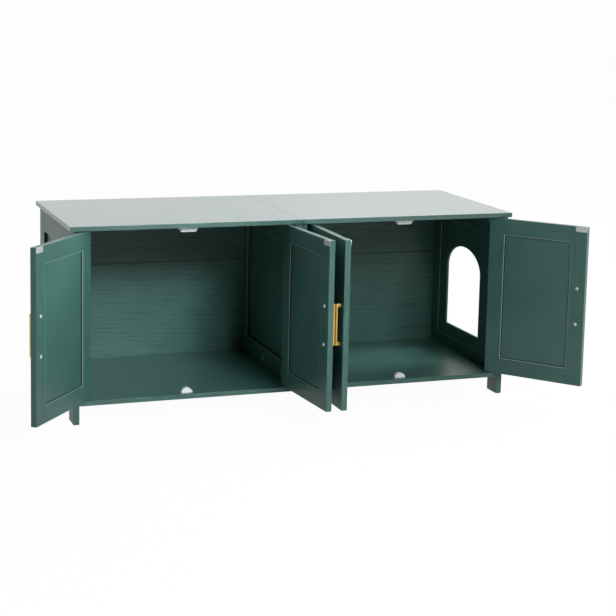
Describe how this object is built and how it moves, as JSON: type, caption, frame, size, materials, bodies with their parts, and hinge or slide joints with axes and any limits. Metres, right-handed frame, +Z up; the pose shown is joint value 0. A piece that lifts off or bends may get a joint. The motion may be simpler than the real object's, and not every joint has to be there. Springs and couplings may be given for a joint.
{
  "type": "cat litter box cabinet",
  "caption": "Low two-bay cabinet on legs with paired framed doors, a centre partition, bar pulls, magnetic catches and an arched cat entry through each side.",
  "frame": {"origin": "on the floor at the centre of the centre foot's underside: the cabinet's centre seam, at half the carcass's depth", "axes": "+X towards the viewer's right along the front, +Y from the doors to the back, +Z up"},
  "size_m": [1.461, 0.7145, 0.5],
  "materials": {
    "green_paint": "dark green paint over fibreboard embossed with a wood grain, satin",
    "brass": "brushed, brass coloured",
    "white_plastic": "moulded, slightly glossy",
    "steel": "zinc-plated",
    "nylon": "moulded"
  },
  "bodies": {
    "cabinet": {"top_left": "green_paint", "top_right": "green_paint", "base_left": "green_paint", "base_right": "green_paint", "centre_foot": "green_paint", "partition_front_stile": "green_paint", "partition_back_stile": "green_paint", "partition_rails": "green_paint", "partition_panel": "green_paint", "back_lower_left": "green_paint", "back_lower_right": "green_paint", "back_upper_left": "green_paint", "back_upper_right": "green_paint", "pivot_bushes": "nylon", "magnetic_catches": "white_plastic", "catch_magnets": "steel", "catch_screws": "steel", "door_stops": "white_plastic", "cam_locks": "steel", "cam_bolts": "steel", "side_left_front_leg": "green_paint", "side_left_back_leg": "green_paint", "side_left_rails": "green_paint", "side_left_panel": "green_paint", "side_right_front_leg": "green_paint", "side_right_back_leg": "green_paint", "side_right_rails": "green_paint", "side_right_panel": "green_paint"},
    "left_outer_door": {"left_outer_door_hinge_stile": "green_paint", "left_outer_door_handle_stile": "green_paint", "left_outer_door_rails": "green_paint", "left_outer_door_panel": "green_paint", "left_outer_door_handle": "brass", "left_outer_door_screws": "steel", "left_outer_door_pivot_pins": "steel", "left_outer_door_strike_plate": "steel"},
    "left_inner_door": {"left_inner_door_hinge_stile": "green_paint", "left_inner_door_handle_stile": "green_paint", "left_inner_door_rails": "green_paint", "left_inner_door_panel": "green_paint", "left_inner_door_handle": "brass", "left_inner_door_screws": "steel", "left_inner_door_pivot_pins": "steel", "left_inner_door_strike_plate": "steel"},
    "right_inner_door": {"right_inner_door_hinge_stile": "green_paint", "right_inner_door_handle_stile": "green_paint", "right_inner_door_rails": "green_paint", "right_inner_door_panel": "green_paint", "right_inner_door_handle": "brass", "right_inner_door_screws": "steel", "right_inner_door_pivot_pins": "steel", "right_inner_door_strike_plate": "steel"},
    "right_outer_door": {"right_outer_door_hinge_stile": "green_paint", "right_outer_door_handle_stile": "green_paint", "right_outer_door_rails": "green_paint", "right_outer_door_panel": "green_paint", "right_outer_door_handle": "brass", "right_outer_door_screws": "steel", "right_outer_door_pivot_pins": "steel", "right_outer_door_strike_plate": "steel"}
  },
  "joints": [
    {"name": "left_outer_door_hinge", "type": "hinge", "parent": "cabinet", "child": "left_outer_door", "pos_m": [-0.55952, -0.215, 0.2735], "axis": [0, 0, 1], "range_deg": [0, 128.99]},
    {"name": "left_inner_door_hinge", "type": "hinge", "parent": "cabinet", "child": "left_inner_door", "pos_m": [-0.03148, -0.215, 0.2735], "axis": [0, 0, 1], "range_deg": [-94.45, 0]},
    {"name": "right_inner_door_hinge", "type": "hinge", "parent": "cabinet", "child": "right_inner_door", "pos_m": [0.03148, -0.215, 0.2735], "axis": [0, 0, 1], "range_deg": [0, 90.5]},
    {"name": "right_outer_door_hinge", "type": "hinge", "parent": "cabinet", "child": "right_outer_door", "pos_m": [0.55952, -0.215, 0.2735], "axis": [0, 0, 1], "range_deg": [-128.99, 0]}
  ]
}
